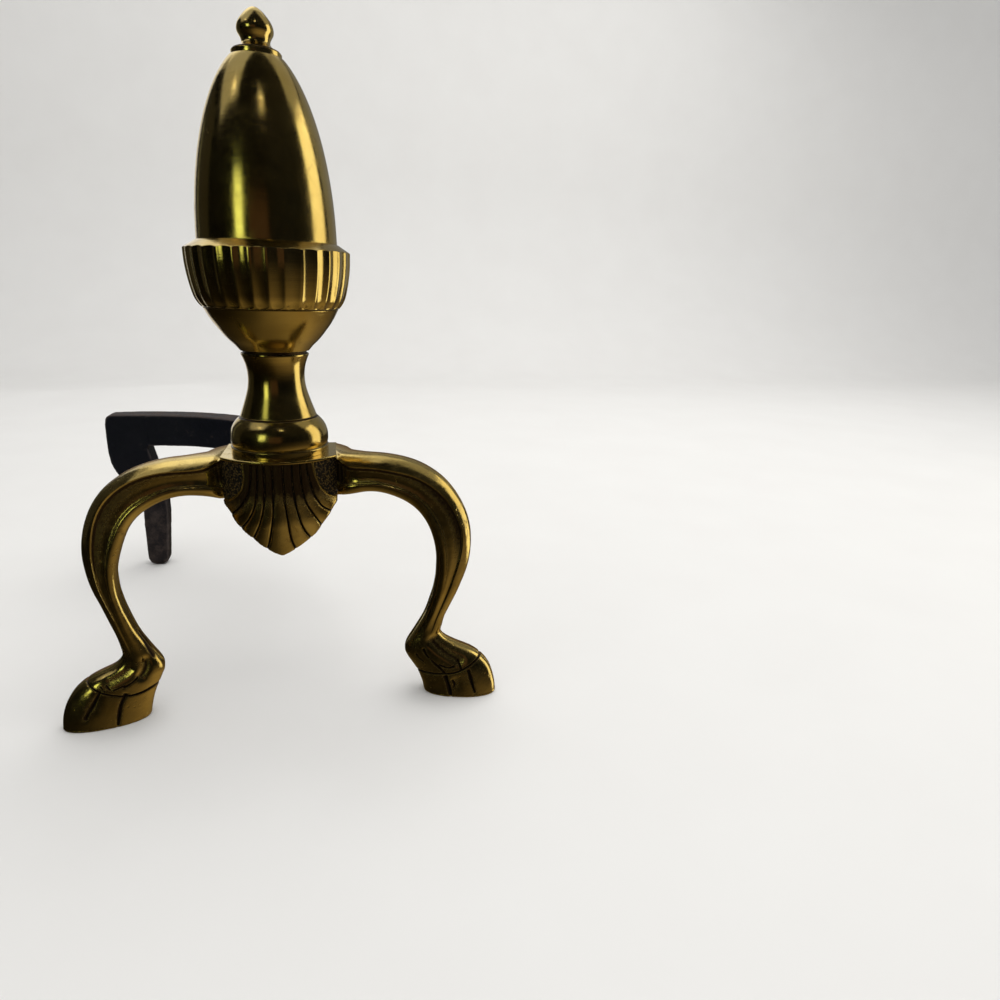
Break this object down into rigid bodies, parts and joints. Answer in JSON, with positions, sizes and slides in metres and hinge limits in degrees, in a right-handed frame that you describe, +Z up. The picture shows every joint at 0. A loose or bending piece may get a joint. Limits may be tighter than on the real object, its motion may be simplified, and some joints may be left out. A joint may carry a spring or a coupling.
{
  "type": "andiron",
  "caption": "Brass fireplace andiron: acorn post with fluted cup on a shell plinth, cabriole front legs with hoof feet, and a curved cast-iron log bar on a rear leg.",
  "frame": {"origin": "centre of the bounding box, on the hearth", "axes": "+Z up; the front with the shell faces -Y, the log bar runs back to +Y and sweeps to -X"},
  "size_m": [0.291, 0.2789, 0.385],
  "materials": {
    "cast_brass": "polished casting, dark in the grooves",
    "turned_brass": "polished, lathe turned",
    "black_iron": "black, brown with rust on top",
    "steel": "dull"
  },
  "bodies": {
    "root": {"plinth": "cast_brass", "leg_right": "cast_brass", "leg_left": "cast_brass", "ball_neck": "turned_brass", "fluted_cup": "turned_brass", "acorn_body": "turned_brass", "top_tip": "turned_brass", "tie_rod": "steel", "log_bar": "black_iron", "flat_washer": "steel", "lock_washer": "steel", "hex_nut": "steel"}
  },
  "joints": []
}
